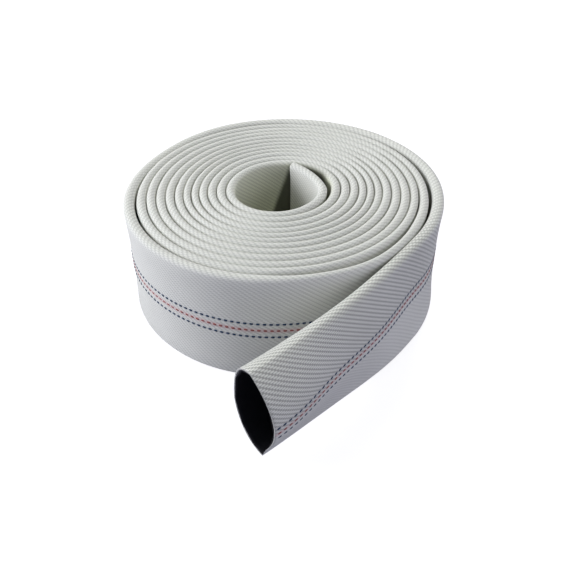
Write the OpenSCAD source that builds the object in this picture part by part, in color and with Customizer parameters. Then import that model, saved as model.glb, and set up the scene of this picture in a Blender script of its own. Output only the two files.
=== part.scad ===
// Rolled lay-flat fire hose, standing on its edge with one end led out in front.
// The hose follows one chain of clockwise arcs. The middle of the roll is one body;
// both free ends are cut into short links, so the fabric can bend at real places.

/* [Hose] */
// Width of the hose pressed flat, which is the height of the roll
flat_w = 65; // [45:1:90]
// Thickness of the hose pressed flat
flat_t = 4.0; // [3.8:0.1:4.2]
// Wall of the woven jacket
jacket_t = 1.25; // [1.0:0.05:1.3]
// Wall of the rubber lining
liner_t = 0.6; // [0.4:0.05:0.6]

/* [Marker warps] */
// Distance between neighbouring marker lines
mark_pitch = 4.2; // [3:0.1:6]
// Width of one marker warp
mark_w = 1.0; // [0.6:0.1:1.4]
// Height of a marker warp above the outer face
mark_h = 0.15; // [0.1:0.05:0.2]

/* [Roll] */
// Radius of the first regular turn, to the middle of the hose
core_r = 25.8; // [25.8:0.1:32]
// Turns wound before the last one
turns = 12; // [8:1:14]
// Distance from one turn to the next where the roll is loose
pitch_loose = 5.3; // [5.2:0.1:7]
// Distance from one turn to the next where the roll is tight
pitch_tight = 4.3; // [4.3:0.1:5]
// Extra distance between the last full turn and the roll
loose_gap = 2; // [0:0.2:4]
// Centre offset that makes the roll slightly oval
oval = 2.4; // [2:0.1:3]

/* [Inner end] */
// Bend radius of the nearly straight inner end
flap_r = 42; // [34:1:42]
// Angle that end turns through before the first bend
flap_sweep = 42; // [20:1:42]
// Radius of the first bend, which joins the inner end to the regular turns
bend_r = 24.5; // [22:0.5:24.5]

/* [Free end] */
// Last angle where the outer turn still lies on the roll
leave_angle = -37; // [-50:1:-20]
// Bend radius of the end once it has left the roll
tail_r = 520; // [300:10:900]
// Length of the end once it has left the roll
tail_len = 120; // [90:1:140]
// Half width of the open mouth, to the outside of the jacket
mouth_half_w = 14; // [6:0.5:15]
// Lean of the cut end past vertical
mouth_lean = 5; // [0:1:8]

/* [Hidden] */
$fn = 48;
bond = 0.02;
web_gap = 1.3;
bevel = 8;
wrap_links = 5;
tail_links = 4;
curl_links = 3;
wrap_start = 10;
curl_share = 0.25;
tight_mid = 4.9;
tight_half = 2.9;
roll_centre = [-4.06, -0.66];
wall_t = jacket_t + liner_t;
liner_w = flat_t - 2 * jacket_t - 2 * bond;
white = [0.86, 0.87, 0.85];
black = [0.06, 0.06, 0.07];
navy = [0.12, 0.15, 0.3];
red = [0.75, 0.3, 0.25];

// ---- path: clockwise arcs, each with a radius, a sweep, a start angle and a centre ----
// The regular turns are quarter arcs. Short decimals keep their ends exactly alike.
function radial(a) = [cos(a), sin(a)];
function tightness(k) = pow(cos(90 * min(1, abs(k / 4 - tight_mid) / tight_half)), 2);
function growth(k) =
    round(25 * (pitch_loose - (pitch_loose - pitch_tight) * tightness(k))) / 100;
function sway(k) = k % 2 == 0 ? -oval : oval;
quarters = 4 * turns + 1;
last_turn = quarters - 4;
function stand_off(k) = loose_gap * (k < last_turn ? 0 : k < last_turn + 2 ? 0.5 : 1);
regular_r = [for (k = 0, r = core_r; k <= quarters; r = r + growth(k), k = k + 1)
    r + sway(k) + stand_off(k)];
leave_sweep = -leave_angle;
radii = concat([flap_r, bend_r], [for (k = [2 : quarters]) regular_r[k]], [tail_r]);
sweeps = concat([flap_sweep], [for (k = [1 : quarters - 1]) 90], [leave_sweep],
    [tail_len / tail_r * 180 / PI]);
last = len(radii) - 1;
starts = [for (k = 0, a = flap_sweep; k <= last; a = a - sweeps[k], k = k + 1) a];
function step_to(k) = (radii[k] - radii[k - 1]) * radial(starts[k]);
centres = [for (k = 0, c = roll_centre + step_to(2) + step_to(1); k <= last;
    c = k < last ? c - step_to(k + 1) : c, k = k + 1) c];
lengths = [for (k = [0 : last]) radii[k] * sweeps[k] * PI / 180];
marks = [for (k = 0, s = 0; k <= last; s = s + lengths[k], k = k + 1) s];
hose_len = marks[last] + lengths[last];

function arc_at(s, k = 0) = k >= last || s < marks[k] + lengths[k] ? k : arc_at(s, k + 1);
function angle_at(s) = let (k = arc_at(s)) starts[k] - (s - marks[k]) / radii[k] * 180 / PI;
function point_at(s) = let (k = arc_at(s)) centres[k] + radii[k] * radial(angle_at(s));

// ---- joint stations along the path ----
leave_s = marks[last];
wrap_s0 = marks[4 * turns] + lengths[4 * turns] * wrap_start / 90;
wrap_step = (leave_s - wrap_s0) / wrap_links;
tail_step = tail_len / tail_links;
curl_len = marks[1] + lengths[1] * curl_share;
curl_step = curl_len / curl_links;
stations = concat([for (i = [0 : wrap_links - 1]) wrap_s0 + i * wrap_step],
    [for (i = [0 : tail_links]) leave_s + i * tail_step]);
function curl_s(i) = curl_len - i * curl_step;

// ---- flat sections: x across the hose, y up ----
module bar_section(w, low) {
    translate([-w / 2, low]) square([w, flat_w - 2 * low]);
}

module mark_section(rows) {
    for (row = rows)
        translate([flat_t / 2, flat_w / 2 + row * mark_pitch - mark_w / 2])
            square([mark_h, mark_w]);
}

// Sweeps a flat section along the path between two lengths. Each arc is drawn from the end
// it shares with its neighbour, so the two meet exactly.
module follow(s0, s1) {
    for (k = [arc_at(s0) : arc_at(s1)]) {
        from = max(s0, marks[k]);
        to = min(s1, marks[k] + lengths[k]);
        sweep = (to - from) / radii[k] * 180 / PI;
        shared_start = from == marks[k];
        turn = shared_start ? starts[k] : starts[k] - sweeps[k]
            + (marks[k] + lengths[k] - to) / radii[k] * 180 / PI;
        if (to - from > 0.01)
            translate(centres[k])
                rotate(turn % 360)
                    mirror([0, shared_start ? 1 : 0, 0])
                        rotate_extrude(angle = sweep)
                            translate([radii[k], 0])
                                children();
    }
}

// Hollow length of flat hose: a bar less the bar inside it.
module flat_tube(s0, s1, w, low, wall) {
    difference() {
        follow(s0, s1) bar_section(w, low);
        follow(s0 - 1, s1 + 1) bar_section(w - 2 * wall, low + wall);
    }
}

module flat_jacket(s0, s1) { flat_tube(s0, s1, flat_t, 0, jacket_t); }
module flat_liner(s0, s1) { flat_tube(s0, s1, liner_w, jacket_t + bond, liner_t); }

// ---- opening end: rings of points that grow from flat to an open lens ----
ring_n = 36;
station_n = 6;
function ease(t) = let (u = min(1, max(0, t))) u * u * (3 - 2 * u);
function opening(s) = ease((s - leave_s) / tail_len * 0.9 + 0.1) * (s > leave_s ? 1 : 0);
function half_w(s) = flat_t / 2 + (mouth_half_w - flat_t / 2) * opening(s);
function half_h(s) = flat_w / 2 - 2.5 * opening(s);
function squareness(s) = 0.22 + 0.88 * opening(s);
function signed_pow(v, e) = sign(v) * pow(abs(v), e);
function lens(s, inset, i) = let (t = 360 * i / ring_n)
    [(half_w(s) - inset) * signed_pow(cos(t), squareness(s)), (half_h(s) - inset) * sin(t)];
function place(s, x, z, lean) = let (a = angle_at(s), p = point_at(s) + x * radial(a))
    concat(p + lean * [sin(a), -cos(a)], [z + half_h(s)]);
function cut_back(s, s0, s1, x) = tan(bevel) * abs(x) *
    (s <= s0 ? -1 : s >= s1 && s1 < hose_len - 1 ? 1 : 0);
function mouth_shift(s, z) = opening(s) > 0 ? tan(mouth_lean) * z * opening(s) : 0;
function ring(s, s0, s1, inset) = [for (i = [0 : ring_n - 1])
    let (p = lens(s, inset, i))
        place(s, p[0], p[1], mouth_shift(s, p[1]) - cut_back(s, s0, s1, p[0]))];

module tube(s0, s1, outer, inner) {
    rows = [for (j = [0 : station_n]) s0 + (s1 - s0) * j / station_n];
    points = concat([for (s = rows) each ring(s, s0, s1, outer)],
        [for (s = rows) each ring(s, s0, s1, inner)]);
    shell = (station_n + 1) * ring_n;
    function at(j, i) = j * ring_n + i % ring_n;
    outside = [for (j = [0 : station_n - 1], i = [0 : ring_n - 1])
        [at(j, i), at(j, i + 1), at(j + 1, i + 1), at(j + 1, i)]];
    inside = [for (j = [0 : station_n - 1], i = [0 : ring_n - 1])
        [shell + at(j, i), shell + at(j + 1, i), shell + at(j + 1, i + 1), shell + at(j, i + 1)]];
    front = [for (i = [0 : ring_n - 1])
        [at(0, i + 1), at(0, i), shell + at(0, i), shell + at(0, i + 1)]];
    back = [for (i = [0 : ring_n - 1])
        [at(station_n, i), at(station_n, i + 1),
        shell + at(station_n, i + 1), shell + at(station_n, i)]];
    polyhedron(points, split(concat(outside, inside, front, back)), convexity = 6);
}

function split(faces) = [for (f = faces) each [[f[0], f[1], f[2]], [f[0], f[2], f[3]]]];
function skin_x(s, z) = half_w(s) * signed_pow(sqrt(1 - pow(z / half_h(s), 2)), squareness(s));
function mark_corner(s, s0, s1, z, out) = let (x = skin_x(s, z) + out)
    place(s, x, z, mouth_shift(s, z) - cut_back(s, s0, s1, x));

module mark_strip(s0, s1, row) {
    rows = [for (j = [0 : station_n]) s0 + (s1 - s0) * j / station_n];
    low = row * mark_pitch - mark_w / 2;
    high = low + mark_w;
    points = [for (s = rows) each [
        mark_corner(s, s0, s1, low, 0.05), mark_corner(s, s0, s1, low, 0.05 + mark_h),
        mark_corner(s, s0, s1, high, 0.05 + mark_h), mark_corner(s, s0, s1, high, 0.05)]];
    sides = [for (j = [0 : station_n - 1], i = [0 : 3])
        [4 * j + i, 4 * j + (i + 1) % 4, 4 * j + 4 + (i + 1) % 4, 4 * j + 4 + i]];
    end = 4 * station_n;
    polyhedron(points, split(concat(sides, [[3, 2, 1, 0]], [[end, end + 1, end + 2, end + 3]])));
}

// ---- the middle of the roll ----
coil_from = curl_len + web_gap / 2;
coil_to = wrap_s0 - web_gap / 2;

module jacket_coil() { color(white) flat_jacket(coil_from, coil_to); }
module liner_coil() { color(black) flat_liner(coil_from, coil_to); }
module blue_warps_coil() { color(navy) follow(coil_from, coil_to) mark_section([-1, 1]); }
module red_warp_coil() { color(red) follow(coil_from, coil_to) mark_section([0]); }

// ---- outer links: the first wrap_links lie on the roll, the rest lead out to the mouth ----
function link_from(i) = stations[i] + web_gap / 2;
function link_to(i) = i == wrap_links + tail_links - 1 ? hose_len : stations[i + 1] - web_gap / 2;

module link_jacket(i) {
    color(white)
        if (i < wrap_links) flat_jacket(link_from(i), link_to(i));
        else tube(link_from(i), link_to(i), 0, jacket_t);
}

module link_liner(i) {
    color(black)
        if (i < wrap_links) flat_liner(link_from(i), link_to(i));
        else tube(link_from(i), link_to(i), jacket_t + 0.05, wall_t + 0.05);
}

module link_marks(i, rows, tint) {
    color(tint)
        if (i < wrap_links) follow(link_from(i), link_to(i)) mark_section(rows);
        else for (row = rows) mark_strip(link_from(i), link_to(i), row);
}

// ---- inner links: the free end inside the eye of the roll ----
function curl_from(i) = i == curl_links - 1 ? 0 : curl_s(i + 1) + web_gap / 2;
function curl_to(i) = curl_s(i) - web_gap / 2;

module curl_jacket(i) { color(white) flat_jacket(curl_from(i), curl_to(i)); }
module curl_liner(i) { color(black) flat_liner(curl_from(i), curl_to(i)); }
module curl_marks(i, rows, tint) {
    color(tint) follow(curl_from(i), curl_to(i)) mark_section(rows);
}

// ---- one module per sub-part ----
module jacket_wrap_1() { link_jacket(0); }
module liner_wrap_1() { link_liner(0); }
module blue_warps_wrap_1() { link_marks(0, [-1, 1], navy); }
module red_warp_wrap_1() { link_marks(0, [0], red); }
module jacket_wrap_2() { link_jacket(1); }
module liner_wrap_2() { link_liner(1); }
module blue_warps_wrap_2() { link_marks(1, [-1, 1], navy); }
module red_warp_wrap_2() { link_marks(1, [0], red); }
module jacket_wrap_3() { link_jacket(2); }
module liner_wrap_3() { link_liner(2); }
module blue_warps_wrap_3() { link_marks(2, [-1, 1], navy); }
module red_warp_wrap_3() { link_marks(2, [0], red); }
module jacket_wrap_4() { link_jacket(3); }
module liner_wrap_4() { link_liner(3); }
module blue_warps_wrap_4() { link_marks(3, [-1, 1], navy); }
module red_warp_wrap_4() { link_marks(3, [0], red); }
module jacket_wrap_5() { link_jacket(4); }
module liner_wrap_5() { link_liner(4); }
module blue_warps_wrap_5() { link_marks(4, [-1, 1], navy); }
module red_warp_wrap_5() { link_marks(4, [0], red); }
module jacket_tail_1() { link_jacket(5); }
module liner_tail_1() { link_liner(5); }
module blue_warps_tail_1() { link_marks(5, [-1, 1], navy); }
module red_warp_tail_1() { link_marks(5, [0], red); }
module jacket_tail_2() { link_jacket(6); }
module liner_tail_2() { link_liner(6); }
module blue_warps_tail_2() { link_marks(6, [-1, 1], navy); }
module red_warp_tail_2() { link_marks(6, [0], red); }
module jacket_tail_3() { link_jacket(7); }
module liner_tail_3() { link_liner(7); }
module blue_warps_tail_3() { link_marks(7, [-1, 1], navy); }
module red_warp_tail_3() { link_marks(7, [0], red); }
module jacket_mouth() { link_jacket(8); }
module liner_mouth() { link_liner(8); }
module blue_warps_mouth() { link_marks(8, [-1, 1], navy); }
module red_warp_mouth() { link_marks(8, [0], red); }
module jacket_curl_1() { curl_jacket(0); }
module liner_curl_1() { curl_liner(0); }
module blue_warps_curl_1() { curl_marks(0, [-1, 1], navy); }
module red_warp_curl_1() { curl_marks(0, [0], red); }
module jacket_curl_2() { curl_jacket(1); }
module liner_curl_2() { curl_liner(1); }
module blue_warps_curl_2() { curl_marks(1, [-1, 1], navy); }
module red_warp_curl_2() { curl_marks(1, [0], red); }
module jacket_curl_3() { curl_jacket(2); }
module liner_curl_3() { curl_liner(2); }
module blue_warps_curl_3() { curl_marks(2, [-1, 1], navy); }
module red_warp_curl_3() { curl_marks(2, [0], red); }

jacket_coil();
liner_coil();
blue_warps_coil();
red_warp_coil();
jacket_wrap_1();
liner_wrap_1();
blue_warps_wrap_1();
red_warp_wrap_1();
jacket_wrap_2();
liner_wrap_2();
blue_warps_wrap_2();
red_warp_wrap_2();
jacket_wrap_3();
liner_wrap_3();
blue_warps_wrap_3();
red_warp_wrap_3();
jacket_wrap_4();
liner_wrap_4();
blue_warps_wrap_4();
red_warp_wrap_4();
jacket_wrap_5();
liner_wrap_5();
blue_warps_wrap_5();
red_warp_wrap_5();
jacket_tail_1();
liner_tail_1();
blue_warps_tail_1();
red_warp_tail_1();
jacket_tail_2();
liner_tail_2();
blue_warps_tail_2();
red_warp_tail_2();
jacket_tail_3();
liner_tail_3();
blue_warps_tail_3();
red_warp_tail_3();
jacket_mouth();
liner_mouth();
blue_warps_mouth();
red_warp_mouth();
jacket_curl_1();
liner_curl_1();
blue_warps_curl_1();
red_warp_curl_1();
jacket_curl_2();
liner_curl_2();
blue_warps_curl_2();
red_warp_curl_2();
jacket_curl_3();
liner_curl_3();
blue_warps_curl_3();
red_warp_curl_3();
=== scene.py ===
import math

import bpy
import numpy as np
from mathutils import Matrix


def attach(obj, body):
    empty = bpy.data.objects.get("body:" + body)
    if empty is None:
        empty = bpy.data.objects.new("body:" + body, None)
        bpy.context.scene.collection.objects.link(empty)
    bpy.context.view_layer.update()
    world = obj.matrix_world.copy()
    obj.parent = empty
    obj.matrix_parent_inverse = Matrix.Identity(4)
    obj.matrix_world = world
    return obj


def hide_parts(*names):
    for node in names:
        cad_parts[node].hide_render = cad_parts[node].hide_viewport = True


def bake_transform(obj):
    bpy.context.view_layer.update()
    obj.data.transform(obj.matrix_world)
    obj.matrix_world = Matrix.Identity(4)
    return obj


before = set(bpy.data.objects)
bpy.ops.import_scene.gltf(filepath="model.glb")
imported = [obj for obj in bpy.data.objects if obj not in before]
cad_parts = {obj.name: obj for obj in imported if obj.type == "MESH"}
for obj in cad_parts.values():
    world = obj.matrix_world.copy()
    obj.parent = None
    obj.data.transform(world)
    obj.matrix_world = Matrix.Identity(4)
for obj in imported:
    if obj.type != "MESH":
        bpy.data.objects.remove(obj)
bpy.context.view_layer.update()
rng = np.random.default_rng(7)

MM = 0.001

# ------------------------------------------------ the path of the hose, in mm, as in the CAD
FLAT_W, FLAT_T = 65.0, 4.0
CORE_R, TURNS, PITCH_LOOSE, PITCH_TIGHT, OVAL, LOOSE_GAP = 25.8, 12, 5.3, 4.3, 2.4, 2.0
TIGHT_MID, TIGHT_HALF = 4.9, 2.9
FLAP_R, FLAP_SWEEP, BEND_R = 42.0, 42.0, 24.5
ROLL_CENTRE = np.array([-4.06, -0.66])
LEAVE_ANGLE, TAIL_R, TAIL_LEN = -37.0, 520.0, 120.0
WRAP_LINKS, TAIL_LINKS, CURL_LINKS = 5, 4, 3
JACKET_T, LINER_T = 1.25, 0.6


def unit(deg):
    a = np.radians(deg)
    return np.stack([np.cos(a), np.sin(a)], -1)


quarters = 4 * TURNS + 1
# the arcs of the last turn, in the order in which the hose runs through them
FRONT_RIGHT, FRONT_LEFT, BACK_LEFT, BACK_RIGHT, LAST = range(quarters - 4, quarters + 1)


def growth(k):
    tight = math.cos(math.radians(90 * min(1, abs(k / 4 - TIGHT_MID) / TIGHT_HALF))) ** 2
    return round((PITCH_LOOSE - (PITCH_LOOSE - PITCH_TIGHT) * tight) / 4, 2)


def stand_off(k):
    return LOOSE_GAP * (0 if k < FRONT_RIGHT else 0.5 if k < BACK_LEFT else 1)


regular, r = [], CORE_R
for k in range(quarters + 1):
    regular.append(r + (-OVAL if k % 2 == 0 else OVAL) + stand_off(k))
    r += growth(k)
radii = [FLAP_R, BEND_R] + regular[2:] + [TAIL_R]
sweeps = [FLAP_SWEEP] + [90.0] * (quarters - 1) + [-LEAVE_ANGLE, math.degrees(TAIL_LEN / TAIL_R)]
starts = FLAP_SWEEP - np.concatenate([[0], np.cumsum(sweeps)[:-1]])
steps = [(radii[k + 1] - radii[k]) * unit(starts[k + 1]) for k in range(len(radii) - 1)]
centres = [ROLL_CENTRE + steps[0] + steps[1]]
for step in steps:
    centres.append(centres[-1] - step)
radii, centres = np.array(radii), np.array(centres)
lengths = radii * np.radians(sweeps)
marks = np.concatenate([[0], np.cumsum(lengths)[:-1]])
HOSE_LEN = float(marks[-1] + lengths[-1])
LEAVE = float(marks[-1])


def arc_at(s):
    return np.clip(np.searchsorted(marks, s, "right") - 1, 0, len(marks) - 1)


def angle_at(s):
    k = arc_at(s)
    return starts[k] - np.degrees((s - marks[k]) / radii[k])


def plan_at(s):
    k = arc_at(s)
    return centres[k] + radii[k][:, None] * unit(angle_at(s))


wrap_s0 = marks[BACK_RIGHT] + lengths[BACK_RIGHT] / 10
wrap_step = (LEAVE - wrap_s0) / WRAP_LINKS
tail_step = TAIL_LEN / TAIL_LINKS
curl_len = marks[1] + lengths[1] / 4
curl_step = curl_len / CURL_LINKS
outer_joints = [wrap_s0 + i * wrap_step for i in range(WRAP_LINKS)]
outer_joints += [LEAVE + i * tail_step for i in range(TAIL_LINKS)]
inner_joints = [curl_len - i * curl_step for i in range(CURL_LINKS)]
OUTER = [f"wrap_{i + 1}" for i in range(WRAP_LINKS)]
OUTER += [f"tail_{i + 1}" for i in range(TAIL_LINKS - 1)] + ["mouth"]
INNER = [f"curl_{i + 1}" for i in range(CURL_LINKS)]


# ------------------------------------------------ the section of the hose
FOLD_R = 2.2                # radius of a folded edge that nothing presses on
FOLD_LEAST, FOLD_MOST = 2.0, 2.65
FOLD_AIR = 0.12             # half of the air between folds that lie side by side
MOUTH_OUT, MOUTH_IN = 8.5, 20.4     # how far the two walls of the mouth stand from its middle
MOUTH_H = 26.1              # half the height of the mouth
MOUTH_SHIFT = 7.5           # the mouth's middle stands this far out of the line through its folds
MOUTH_LEAN = math.tan(math.radians(1.5))
CUT_BACK = 0.042            # slope by which the mouth's lower half is cut back
FLARE, FLARE_FROM, FLARE_RUN = 4.5, 80, 120     # the lower fold of the free end is splayed outwards
BELLY, BELLY_RUN = 2.4, 90  # the outer wall of the free end stands off by this much
GAP_BULGE, PRESS = 1.5, 1.7     # crescent gap at the front right, and the press at the back left
NARROWER, FORWARD = 0.014, 1.4  # the inner turns are squeezed sideways by this share, and moved forward
SMOOTHING = 14
FAR = 99.0
CUT_NEAR = 0.1              # a tube that ends this close to an end of the hose is closed there


def ease(t):
    t = np.clip(t, 0, 1)
    return t * t * (3 - 2 * t)


def opening(s):
    return np.where(s > LEAVE, ease((s - LEAVE) / TAIL_LEN * 0.92 + 0.08), 0.0)


def gap_to(s, turns):
    """Distance from the hose to itself a whole turn further out (turns = 1) or in (turns = -1)."""
    k = arc_at(s)
    other = np.clip(k + 4 * turns, 0, len(marks) - 2)
    turned = starts[other] - (angle_at(s) - 360 * turns)
    there = centres[other] + radii[other][:, None] * unit(starts[other] - turned)
    sweep = np.degrees(lengths[other] / radii[other])
    valid = (k + 4 * turns == other) & (turned >= -0.01) & (turned <= sweep + 0.01)
    return np.where(valid, np.linalg.norm(there - plan_at(s), axis=1), FAR)


def smooth(values, half):
    kernel = np.hanning(2 * half + 1)
    padded = np.pad(values, half, mode="edge")
    return np.convolve(padded, kernel / kernel.sum(), mode="valid")


def fold_radii(s):
    """Radius of the folded edge on its outer and its inner side: it swells into the space beside it."""
    outside = np.clip(gap_to(s, 1) / 2 - FOLD_AIR, FOLD_LEAST, FOLD_MOST)
    inside = np.clip(gap_to(s, -1) / 2 - FOLD_AIR, FOLD_LEAST, FOLD_MOST)
    last_turn = s > marks[FRONT_LEFT]
    outside[last_turn] = 2.7
    inside[last_turn] = 3.3
    inside[s > marks[BACK_RIGHT]] = 3.9
    along_front = (s - marks[FRONT_RIGHT]) / lengths[FRONT_RIGHT]
    inside[(along_front > 0.35) & (along_front < 0.92)] = 1.9
    outside[arc_at(s) == FRONT_RIGHT - 4] = 2.1
    outside[(along_front > 0) & ~last_turn] = 2.5
    return smooth(outside, SMOOTHING), smooth(inside, SMOOTHING)


grid_s = np.arange(0.0, HOSE_LEN + 1, 1.0)
fold_out, fold_in = fold_radii(grid_s)
outermost = smooth((grid_s > marks[FRONT_LEFT] + 40).astype(float), 40)


def quarter_flat(n_face, n_fold, half_w, half_t, fold_r):
    """One quarter of the flat section, from the middle of a face (x = half_t, z = 0) to the fold's top."""
    neck = half_w - fold_r
    z = neck * (1 - (1 - np.linspace(0, 1, n_face, endpoint=False)) ** 1.5)
    x = half_t + (fold_r - half_t) * np.exp(-(((neck - z) / 3.5) ** 2))
    a = np.linspace(0, np.pi / 2, n_fold + 1)
    return np.concatenate([x, fold_r * np.cos(a)]), np.concatenate([z, neck + fold_r * np.sin(a)])


def half_open(share, half_w, half_h, skew, power, sharp):
    """One side of the open mouth, from the bottom fold to the top fold, at shares of its length."""
    t = np.linspace(-np.pi / 2, np.pi / 2, 800)
    z = half_h * np.sin(t)
    x = half_w * np.cos(t) ** (power - sharp * np.sin(t)) * (1 - skew * np.sin(t))
    run = np.concatenate([[0], np.cumsum(np.hypot(np.diff(x), np.diff(z)))])
    return np.stack([np.interp(share * run[-1], run, x), np.interp(share * run[-1], run, z)], -1)


def ring(n_face, n_fold, inset):
    """One closed ring, inset from the outside: flat (x, z), open (x, z), place and length round it."""
    xf, zf = quarter_flat(n_face, n_fold, FLAT_W / 2 - inset, FLAT_T / 2 - inset, max(FOLD_R - inset, 0.2))
    run = np.concatenate([[0], np.cumsum(np.hypot(np.diff(xf), np.diff(zf)))])

    def whole(x, z):
        n = len(x) - 1
        xs = np.concatenate([x[n:0:-1], x[:n], -x[n:0:-1], -x[:n]])
        zs = np.concatenate([-z[n:0:-1], z[:n], z[n:0:-1], -z[:n]])
        return np.stack([xs, zs], -1)

    n, top = len(run) - 1, run[-1]
    up = np.concatenate([top - run[n:0:-1], top + run[:n]]) / (2 * top)
    thin = 0.55 * inset
    outer = half_open(up, MOUTH_OUT - thin, MOUTH_H - thin, -0.55, 2.8, 1.1)
    inner = half_open(1 - up, MOUTH_IN - thin, MOUTH_H - thin, 0.07, 1.0, 0.0) * np.array([-1, 1])
    vs = np.concatenate([up, 1 + up]) * 2 * top
    return whole(xf, zf), np.concatenate([outer, inner]), vs, 4 * top


noise_phase = rng.uniform(0, 2 * np.pi, (3, 6))
noise_period = rng.uniform(60, 260, (3, 6))


def wobble(s, row, size):
    """Slow unevenness along the hose."""
    waves = np.sin(s[:, None] * 2 * np.pi / noise_period[row] + noise_phase[row])
    return size * waves.sum(1) / 2.5


def bump_at(s, middle, width):
    return np.exp(-(((s - middle) / width) ** 2))


def sweep_points(s, flat, wide):
    """Points of the section swept along the path: array stations x ring x 3, in mm."""
    free = s - LEAVE
    o = opening(s)[:, None]
    x0, z0 = flat[:, 0], flat[:, 1]
    reach = 4.0 + 5.0 * np.interp(s, grid_s, outermost)[:, None] * (x0 > 0)
    near_fold = np.exp(-((np.clip(FLAT_W / 2 - 3.0 - np.abs(z0), 0, None) / reach) ** 2))
    fold = [np.interp(s, grid_s, radius)[:, None] for radius in (fold_out, fold_in)]
    grown = np.where(x0 > 0, *fold) / FOLD_R
    x = x0 * (1 + (grown - 1) * near_fold) * (1 - o) + wide[:, 0] * o
    z = z0 * (1 - o) + wide[:, 1] * o

    # the free end: splayed lower fold, outer wall standing off, middle of the mouth shifted outwards
    low = np.clip(-z / 30, 0, 1) ** 1.3
    flare = FLARE * ease((free + FLARE_FROM) / FLARE_RUN)
    hump = BELLY * np.sin(np.pi * np.clip(free / BELLY_RUN, 0, 1)) ** 2
    swell = hump[:, None] * (x0 > 0) * (1 - (z0 / (FLAT_W / 2)) ** 2)
    shift = MOUTH_SHIFT * o ** 4 * (1 - (z / (MOUTH_H + 1)) ** 2)

    # the last turn: lifted at the front right, pressed at the back left
    crescent = GAP_BULGE * bump_at(s, marks[FRONT_RIGHT] + 0.62 * lengths[FRONT_RIGHT], 22)
    pressed = PRESS * bump_at(s, marks[BACK_LEFT] + 45, 35)
    squeeze = 1 - ease((s - marks[BACK_LEFT]) / (marks[LAST] - marks[BACK_LEFT]))

    flap = np.interp(s, [-5, 8, 28, 50], [-0.8, 0.2, 2.6, 0.0])
    on_roll = ease(-free / 60)[:, None]
    lift = 0.14 * (1 + wobble(s, 0, 0.5))[:, None] * (z > 0) * on_roll
    z = z * (1 - 0.002 * wobble(s, 1, 1.0)[:, None])
    side = 0.12 * wobble(s, 2, 1.0)[:, None] * on_roll
    lean = MOUTH_LEAN * z * o + CUT_BACK * np.minimum(z, 0) * o ** 2
    n = unit(angle_at(s))
    along = np.stack([n[:, 1], -n[:, 0]], -1)
    p = plan_at(s)
    p = p - squeeze[:, None] * (p * np.array([NARROWER, 0]) + np.array([0, FORWARD])) + flap[:, None] * n
    out = x + side + swell + shift + flare[:, None] * low + (crescent - pressed)[:, None]
    xy = p[:, None, :] + out[..., None] * n[:, None, :] + lean[..., None] * along[:, None, :]
    return np.concatenate([xy, (z + FLAT_W / 2 - lift)[..., None]], -1)


def grid_faces(rows, n, flip=False):
    j, i = np.meshgrid(np.arange(rows - 1), np.arange(n), indexing="ij")
    a, b = j * n + i, j * n + (i + 1) % n
    c, d = b + n, a + n
    f = np.stack([a, b, c, d], -1).reshape(-1, 4)
    return f[:, ::-1] if flip else f


def make_object(name, verts, faces, uv, materials, seam=None):
    """A linked mesh object; uv holds the place along and round the hose of each vertex, in mm."""
    mesh = bpy.data.meshes.new(name)
    mesh.from_pydata((verts * MM).tolist(), [], faces)
    layer = mesh.uv_layers.new(name="weave")
    loops = np.empty(len(mesh.loops), np.int32)
    mesh.loops.foreach_get("vertex_index", loops)
    loop_uv = uv[loops]
    if seam is not None:
        n, round_len, walls = seam
        face = np.repeat(np.arange(len(faces)), 4)
        at_seam = (face % n == n - 1) & (face < walls)
        loop_uv[:, 1] += np.where(at_seam & (loop_uv[:, 1] < round_len / 4), round_len, 0)
    layer.data.foreach_set("uv", (loop_uv * MM).astype(np.float32).ravel())
    for m in materials:
        mesh.materials.append(m)
    mesh.polygons.foreach_set("use_smooth", np.ones(len(mesh.polygons), bool))
    mesh.update()
    obj = bpy.data.objects.new(name, mesh)
    bpy.context.scene.collection.objects.link(obj)
    return obj


def stations_between(s0, s1, step_deg, most):
    """Evenly turned stations from s0 to s1: at most step_deg of turn and most mm apart."""
    cuts = [s0] + [m for m in marks if s0 + 0.5 < m < s1 - 0.5] + [s1]
    out = []
    for a, b in zip(cuts[:-1], cuts[1:]):
        step = min(most, radii[arc_at((a + b) / 2)] * math.radians(step_deg))
        count = max(1, math.ceil((b - a) / step))
        out.append(np.linspace(a, b, count, endpoint=False))
    return np.concatenate(out + [[s1]])


def hose_tube(name, s, outer, inner, n_face, n_fold, materials):
    """A tube wall between two insets, closed by flat ends only where the hose is really cut."""
    fo, wo, vo, round_len = ring(n_face, n_fold, outer)
    fi, wi, _, _ = ring(n_face, n_fold, inner)
    n = len(fo)
    a, b = sweep_points(s, fo, wo).reshape(-1, 3), sweep_points(s, fi, wi).reshape(-1, 3)
    rows = len(s)
    outside, inside = grid_faces(rows, n), grid_faces(rows, n, True) + rows * n
    i = np.arange(n)
    j = (i + 1) % n
    shell = rows * n
    last = (rows - 1) * n
    first = np.stack([j, i, shell + i, shell + j], -1)
    final = np.stack([last + i, last + j, shell + last + j, shell + last + i], -1)
    ends = []
    if s[0] < CUT_NEAR:
        ends.append(first)
    if s[-1] > HOSE_LEN - CUT_NEAR:
        ends.append(final)
    faces = np.concatenate([outside, inside] + ends)
    slot = np.concatenate([np.zeros(len(outside) + len(inside)), np.ones(n * len(ends))])
    uv = np.stack(np.broadcast_arrays(s[:, None], vo[None, :]), -1).reshape(-1, 2)
    seam = (n, round_len, len(outside) + len(inside))
    obj = make_object(name, np.concatenate([a, b]), faces.tolist(), np.tile(uv, (2, 1)), materials, seam)
    obj.data.polygons.foreach_set("material_index", slot.astype(np.int32))
    return obj


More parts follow.
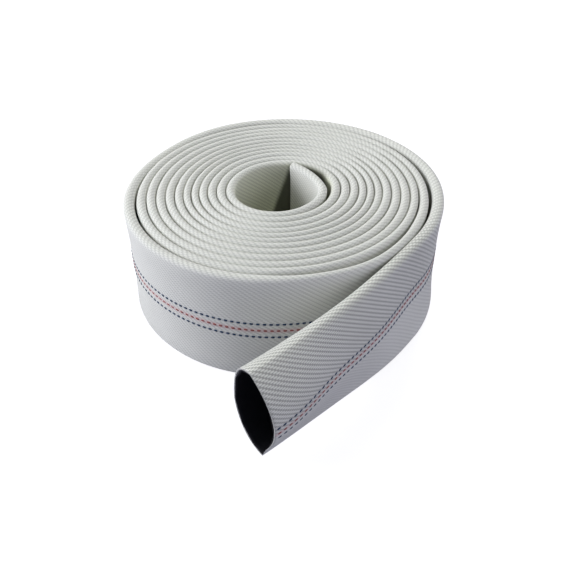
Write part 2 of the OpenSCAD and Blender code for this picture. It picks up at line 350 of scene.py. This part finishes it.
# ------------------------------------------------ marker floats
ROUND_LEN = ring(4, 5, 0)[3]    # once round the jacket
PICK = 3.25                 # one repeat of the weave along the hose
WARP = ROUND_LEN / 159      # one warp yarn
ROW_STEP = 5 * WARP         # from one marker row to the next
STAGGER = 0.12              # share of a repeat by which a marker row is behind the one below it
FLOAT_SIDES = 6


def float_faces(steps):
    """Faces of one pillow: its rings come first, then its two tips."""
    i = np.arange(FLOAT_SIDES)
    j = (i + 1) % FLOAT_SIDES
    last = FLOAT_SIDES * (steps - 1)
    faces = []
    for q in range(0, last, FLOAT_SIDES):
        faces += np.stack([q + i, q + j, q + FLOAT_SIDES + j, q + FLOAT_SIDES + i], -1).tolist()
    tip = last + FLOAT_SIDES
    faces += np.stack([j, i, np.full(FLOAT_SIDES, tip)], -1).tolist()
    faces += np.stack([last + i, last + j, np.full(FLOAT_SIDES, tip + 1)], -1).tolist()
    return faces


def marker_floats(name, s0, s1, rows, material):
    """Rows of small closed pillows: the stretches where a dyed warp lies over the weft."""
    flat, wide, vs, round_len = ring(10, 8, 0)
    half_len, half_wide, high, end = 0.98, 0.66, 0.26, 1.2
    t = np.linspace(0, 2 * np.pi, FLOAT_SIDES, endpoint=False)
    verts, faces, uv, count = [], [], [], 0
    for row in rows:
        late = STAGGER * row * PICK
        centre = np.arange(math.ceil((s0 - late) / PICK), math.ceil((s1 - late) / PICK)) * PICK + late
        centre = centre[(centre > end) & (centre < HOSE_LEN - end)]
        mid_v = round_len / 4 + row * ROW_STEP

        def layer(a, b, h):
            sections = []
            for section in (flat, wide):
                x, z = [np.interp(mid_v + b, vs, section[:, axis]) for axis in (0, 1)]
                sections.append(np.stack([x + h, z], -1))
            return sweep_points(centre + a, *sections)

        rings = []
        for a in (-0.82, -0.42, 0.0, 0.42, 0.82):
            fat = (1 - a ** 4) ** 0.5
            rings.append(layer(a * half_len, half_wide * np.cos(t) * fat, 0.02 + high * np.sin(t) * fat))
        tips = [layer(a, np.zeros(1), np.zeros(1)) for a in (-1.0, 1.0)]
        block = np.concatenate(rings + tips, 1)
        per = block.shape[1]
        shape = float_faces(len(rings))
        faces += [[v + count + per * c for v in face] for c in range(len(centre)) for face in shape]
        verts.append(block.reshape(-1, 3))
        uv.append(np.repeat(np.stack([centre, np.full(len(centre), mid_v)], -1), per, 0))
        count += per * len(centre)
    return make_object(name, np.concatenate(verts), faces, np.concatenate(uv), [material])


# ------------------------------------------------ materials
class Nodes:
    """Short helpers for building a node material."""

    def __init__(self, name):
        self.material = bpy.data.materials.new(name)
        self.material.use_nodes = True
        self.tree = self.material.node_tree
        self.shader = self.tree.nodes["Principled BSDF"]

    def node(self, kind, **values):
        n = self.tree.nodes.new(kind)
        for key, value in values.items():
            setattr(n, key, value)
        return n

    def link(self, source, target):
        self.tree.links.new(source, target)

    def math(self, op, a, b=None, c=None, clamp=False):
        n = self.node("ShaderNodeMath", operation=op, use_clamp=clamp)
        for slot, value in zip(n.inputs, (a, b, c)):
            if value is None:
                continue
            if isinstance(value, (int, float)):
                slot.default_value = value
            else:
                self.link(value, slot)
        return n.outputs[0]

    def times(self, a, b):
        return self.math("MULTIPLY", a, b)

    def plus(self, a, b):
        return self.math("ADD", a, b)

    def minus(self, a, b):
        return self.math("SUBTRACT", a, b)

    def over(self, a, b):
        return self.math("DIVIDE", a, b)

    def mix(self, share, a, b):
        n = self.node("ShaderNodeMix", data_type="RGBA")
        for slot, value in ((n.inputs[0], share), (n.inputs[6], a), (n.inputs[7], b)):
            if isinstance(value, tuple):
                slot.default_value = (*value, 1)
            elif isinstance(value, (int, float)):
                slot.default_value = value
            else:
                self.link(value, slot)
        return n.outputs[2]

    def ramp(self, value, start, end):
        """0 at start, 1 at end, smooth between; start may be the larger one."""
        n = self.node("ShaderNodeMapRange", interpolation_type="SMOOTHSTEP")
        self.link(value, n.inputs["Value"])
        low, high, turned = min(start, end), max(start, end), start > end
        n.inputs["From Min"].default_value = low
        n.inputs["From Max"].default_value = high
        n.inputs["To Min"].default_value = 1.0 if turned else 0.0
        n.inputs["To Max"].default_value = 0.0 if turned else 1.0
        return n.outputs["Result"]

    def noise(self, vector, scale, detail=2.0):
        n = self.node("ShaderNodeTexNoise")
        n.inputs["Scale"].default_value = scale
        n.inputs["Detail"].default_value = detail
        self.link(vector, n.inputs["Vector"])
        return n.outputs["Fac"]

    def set(self, socket, value):
        target = self.shader.inputs[socket]
        if isinstance(value, tuple):
            target.default_value = (*value, 1)
        elif isinstance(value, (int, float)):
            target.default_value = value
        else:
            self.link(value, target)

    def bump(self, height, distance, strength=1.0):
        n = self.node("ShaderNodeBump")
        n.inputs["Distance"].default_value = distance
        n.inputs["Strength"].default_value = strength
        self.link(height, n.inputs["Height"])
        self.link(n.outputs["Normal"], self.shader.inputs["Normal"])


def weave_uv(n):
    uv = n.node("ShaderNodeUVMap", uv_map="weave")
    split = n.node("ShaderNodeSeparateXYZ")
    n.link(uv.outputs[0], split.inputs[0])
    return uv.outputs[0], split.outputs[0], split.outputs[1]


def twill_height(n, uv, u, v):
    """Height of the weave, 0 to 1: warp floats in columns, each a third of a repeat behind the last."""
    column = n.over(v, WARP * MM)
    index = n.math("FLOOR", column)
    across = n.minus(n.times(n.math("FRACT", column), 2.0), 1.0)
    yarn = n.minus(1.0, n.times(across, across))
    phase = n.math("FRACT", n.minus(n.over(u, PICK * MM), n.over(index, 3.0)))
    crown = n.math("SINE", n.times(n.math("MINIMUM", n.over(phase, 0.72), 1.0), math.pi))
    raised = n.math("POWER", n.math("MAXIMUM", crown, 0.0), 0.6)
    height = n.times(n.math("POWER", yarn, 0.5), n.plus(n.times(raised, 0.8), 0.2))
    return n.plus(height, n.times(n.noise(uv, 2600.0, 1.0), 0.12))


def weave_depth(n, u, v):
    """How plainly the weave shows, in its bump and in the painted shade between the yarns: most on the
    upper half of the free end, least on its lower half.
    """
    half_round = ROUND_LEN * MM / 2
    wrapped = n.math("FRACT", n.plus(n.over(v, half_round), 0.5))
    from_fold = n.times(n.math("ABSOLUTE", n.minus(wrapped, 0.5)), half_round)
    face = n.ramp(from_fold, 0.003, 0.009)
    free_end = n.ramp(u, (LEAVE - 50) * MM, (LEAVE + 10) * MM)
    plain = n.math("MAXIMUM", face, n.times(free_end, 0.9))
    upper = n.times(free_end, n.ramp(v, half_round * 0.47, half_round * 0.55))
    lower = n.minus(free_end, upper)
    depth = n.plus(n.times(plain, 0.02), n.plus(n.times(upper, 0.22), 0.22))
    return n.minus(depth, n.times(lower, 0.08))


def jacket_colour(n, uv, u, v):
    """Undyed yarn, tinted by the marker yarns beside it; on the inner face in the eye, a painted olive
    shade and a painted dark wedge of shadow by the crease at the flap's end.
    """
    round_len = ROUND_LEN * MM
    light = n.mix(n.noise(uv, 38.0, 3.0), (0.645, 0.65, 0.60), (0.72, 0.725, 0.68))
    from_mid = n.math("ABSOLUTE", n.minus(v, round_len / 4))
    from_blue = n.math("ABSOLUTE", n.minus(from_mid, ROW_STEP * MM))
    light = n.mix(n.times(n.ramp(from_mid, 0.0021, 0.0006), 0.5), light, (0.66, 0.40, 0.41))
    light = n.mix(n.times(n.ramp(from_blue, 0.0013, 0.0004), 0.15), light, (0.38, 0.44, 0.60))
    inner_face = n.ramp(v, round_len * 0.5, round_len * 0.53)
    # Painted shade: the inner face in the eye is mixed towards a darker olive, standing in for the dim,
    # greenish light deep in the eye.
    eye_painted_shade = n.times(n.ramp(u, 0.040, 0.050), n.ramp(u, 0.260, 0.200))
    light = n.mix(n.times(n.times(inner_face, eye_painted_shade), 0.6), light, (0.62, 0.645, 0.44))
    # Painted shadow: a near-black wedge on the inner face beside the crease where the flap's end meets the
    # next turn, widening with depth, standing in for the shade that falls there.
    crease = (marks[4] + radii[4] * math.radians(13)) * MM
    depth_in = n.minus(n.over(v, round_len / 2), 1.0)
    reach = n.minus(crease - 0.002, n.times(depth_in, 0.024))
    shaded = n.times(n.ramp(n.minus(u, reach), -0.003, 0.001), n.ramp(u, crease + 0.030, crease + 0.020))
    return n.mix(n.times(n.times(inner_face, shaded), 0.95), light, (0.05, 0.054, 0.03))


def jacket_material():
    """White polyester twill, with painted shade between the yarns."""
    n = Nodes("jacket_twill")
    uv, u, v = weave_uv(n)
    height = twill_height(n, uv, u, v)
    depth = weave_depth(n, u, v)
    light = jacket_colour(n, uv, u, v)
    # Painted shade: the hollows between the yarns are darkened in the base colour, scaled by the weave's
    # depth.
    hollow = n.math("SUBTRACT", 1.0, n.math("MINIMUM", height, 1.0), clamp=True)
    shade = n.math("MULTIPLY", n.times(n.math("POWER", hollow, 1.5), depth), 1.75, clamp=True)
    n.set("Base Color", n.mix(shade, light, (0.07, 0.073, 0.062)))
    n.set("Roughness", 0.78)
    n.set("Sheen Weight", 0.1)
    n.set("Sheen Roughness", 0.5)
    n.bump(n.times(height, depth), 0.00034, 0.8)
    return n.material


def cut_material():
    """Cut ends of the jacket: packed yarn ends."""
    n = Nodes("jacket_cut_edge")
    uv, u, v = weave_uv(n)
    grain = n.noise(uv, 1500.0, 2.0)
    n.set("Base Color", n.mix(grain, (0.26, 0.26, 0.25), (0.52, 0.52, 0.50)))
    n.set("Roughness", 0.9)
    n.bump(grain, 0.0003, 0.8)
    return n.material


def liner_material():
    n = Nodes("liner_rubber")
    uv, u, v = weave_uv(n)
    ripple = n.noise(uv, 420.0, 3.0)
    n.set("Base Color", n.mix(ripple, (0.004, 0.004, 0.006), (0.010, 0.010, 0.013)))
    n.set("Roughness", 0.55)
    n.set("Specular IOR Level", 0.15)
    n.bump(ripple, 0.0002, 0.5)
    return n.material


def yarn_material(name, dark, light):
    n = Nodes(name)
    coord = n.node("ShaderNodeTexCoord")
    grain = n.noise(coord.outputs["Object"], 1700.0, 2.0)
    n.set("Base Color", n.mix(grain, dark, light))
    n.set("Roughness", 0.8)
    n.bump(grain, 0.0001, 0.5)
    return n.material


jacket = jacket_material()
cut_edge = cut_material()
liner = liner_material()
blue = yarn_material("blue_yarn", (0.012, 0.026, 0.055), (0.030, 0.060, 0.110))
red = yarn_material("red_yarn", (0.20, 0.060, 0.050), (0.33, 0.12, 0.10))


# ------------------------------------------------ the pieces
def spot(s):
    p = plan_at(np.array([s]))[0]
    return (p[0] * MM, p[1] * MM, FLAT_W / 2 * MM)


def lay(tag, s0, s1, bodies, nodes, fine):
    """Jacket, liner and marker warps from s0 to s1, tied to one body; between two bodies, left untied with
    its transform baked.
    """
    if fine:
        s, n_face, n_fold = stations_between(s0, s1, 3.0, 1.3), 12, 8
    else:
        s, n_face, n_fold = stations_between(s0, s1, 3.5, 6.0), 3, 5
    plain = stations_between(s0, s1, 6.0, 4.0) if fine and s1 < LEAVE else s
    made = {
        "jacket": hose_tube(f"jacket_{tag}", s, 0, JACKET_T, n_face, n_fold, [jacket, cut_edge]),
        "liner": hose_tube(f"liner_{tag}", plain, JACKET_T + 0.02, JACKET_T + LINER_T, 3, 3, [liner] * 2),
        "blue_warps": marker_floats(f"blue_warps_{tag}", s0, s1, (-1, 1), blue),
        "red_warp": marker_floats(f"red_warp_{tag}", s0, s1, (0,), red),
    }
    for kind, obj in made.items():
        if len(bodies) == 1:
            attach(obj, bodies[0])
        else:
            first, last = (s0, s1) if bodies[1] in OUTER else (s1, s0)
            spot(first)
            spot(last)
            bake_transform(obj)
        for node in nodes:
            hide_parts(f"{kind}_{node}")


lay("roll", inner_joints[0] + curl_step / 2, outer_joints[0] - wrap_step / 2, ["coil"], ["coil"], False)

previous, begin = "coil", outer_joints[0] - wrap_step / 2
for i, body in enumerate(OUTER):
    step = wrap_step if i < WRAP_LINKS else tail_step
    end = outer_joints[i] + step / 2
    lay(f"over_{body}", begin, end, [previous, body], [body], True)
    previous, begin = body, end
lay("mouth_end", begin, HOSE_LEN, ["mouth"], [], True)

previous, begin = "coil", inner_joints[0] + curl_step / 2
for i, body in enumerate(INNER):
    end = inner_joints[i] - curl_step / 2
    lay(f"over_{body}", end, begin, [previous, body], [body], True)
    previous, begin = body, end
lay("inner_end", -4.5, begin, [INNER[-1]], [], True)


# ------------------------------------------------ floor, light, camera
def floor():
    """A pale floor, and a glow that only the camera sees, so that it meets the white background."""
    e, under = 6.0, -0.0004
    mesh = bpy.data.meshes.new("floor")
    corners = [(-e, -e, under), (e, -e, under), (e, e, under), (-e, e, under)]
    mesh.from_pydata(corners, [], [(0, 1, 2, 3)])
    obj = bpy.data.objects.new("floor", mesh)
    bpy.context.scene.collection.objects.link(obj)
    material = bpy.data.materials.new("floor")
    material.use_nodes = True
    tree = material.node_tree
    tree.nodes.clear()
    out = tree.nodes.new("ShaderNodeOutputMaterial")
    add = tree.nodes.new("ShaderNodeAddShader")
    diffuse = tree.nodes.new("ShaderNodeBsdfDiffuse")
    diffuse.inputs[0].default_value = (0.28, 0.28, 0.32, 1)
    glow = tree.nodes.new("ShaderNodeEmission")
    path = tree.nodes.new("ShaderNodeLightPath")
    scale = tree.nodes.new("ShaderNodeMath")
    scale.operation = "MULTIPLY"
    scale.inputs[1].default_value = 0.86
    tree.links.new(path.outputs["Is Camera Ray"], scale.inputs[0])
    tree.links.new(scale.outputs[0], glow.inputs["Strength"])
    tree.links.new(diffuse.outputs[0], add.inputs[0])
    tree.links.new(glow.outputs[0], add.inputs[1])
    tree.links.new(add.outputs[0], out.inputs[0])
    mesh.materials.append(material)


def lamp(name, place, size, power, colour):
    """A square soft light that looks at the middle of the roll."""
    data = bpy.data.lights.new(name, "AREA")
    data.size = size
    data.energy = power
    data.color = colour
    obj = bpy.data.objects.new(name, data)
    obj.location = place
    way = np.array(place) - np.array((0, 0, 0.03))
    tilt = math.atan2(math.hypot(way[0], way[1]), way[2])
    obj.rotation_euler = (tilt, 0, math.atan2(way[0], -way[1]))
    bpy.context.scene.collection.objects.link(obj)


def studio(below, above):
    """Soft light from all round, from one colour below to another above; the camera sees plain white."""
    world = bpy.data.worlds.new("studio")
    bpy.context.scene.world = world
    world.use_nodes = True
    tree = world.node_tree
    background = tree.nodes["Background"]
    coord = tree.nodes.new("ShaderNodeTexCoord")
    split = tree.nodes.new("ShaderNodeSeparateXYZ")
    sky = tree.nodes.new("ShaderNodeMix")
    sky.data_type = "RGBA"
    sky.inputs[6].default_value = (*below, 1)
    sky.inputs[7].default_value = (*above, 1)
    seen = tree.nodes.new("ShaderNodeMix")
    seen.data_type = "RGBA"
    seen.inputs[7].default_value = (1, 1, 1, 1)
    way = tree.nodes.new("ShaderNodeLightPath")
    tree.links.new(coord.outputs["Generated"], split.inputs[0])
    tree.links.new(split.outputs[2], sky.inputs[0])
    tree.links.new(sky.outputs[2], seen.inputs[6])
    tree.links.new(way.outputs["Is Camera Ray"], seen.inputs[0])
    tree.links.new(seen.outputs[2], background.inputs[0])
    background.inputs[1].default_value = 1.0


floor()
lamp("key", (-1.05, -0.02, 0.48), 0.6, 14.5, (0.955, 0.965, 1.0))
lamp("fill", (1.05, -0.35, 0.4), 0.9, 4.4, (0.92, 0.91, 1.0))
lamp("top", (0.25, 0.80, 0.92), 0.3, 4.9, (1.0, 1.0, 0.90))
studio(below=(0.37, 0.36, 0.62), above=(0.37, 0.39, 0.30))

camera = bpy.data.objects.new("camera", bpy.data.cameras.new("camera"))
bpy.context.scene.collection.objects.link(camera)
camera.data.sensor_width = 36
camera.data.lens = 41.8
camera.data.clip_start = 0.01
camera.location = (0.0013, -0.3284, 0.2548)
camera.rotation_euler = (math.radians(90 - 38.57), 0, 0)
bpy.context.scene.camera = camera
bpy.context.scene.view_settings.view_transform = "Standard"
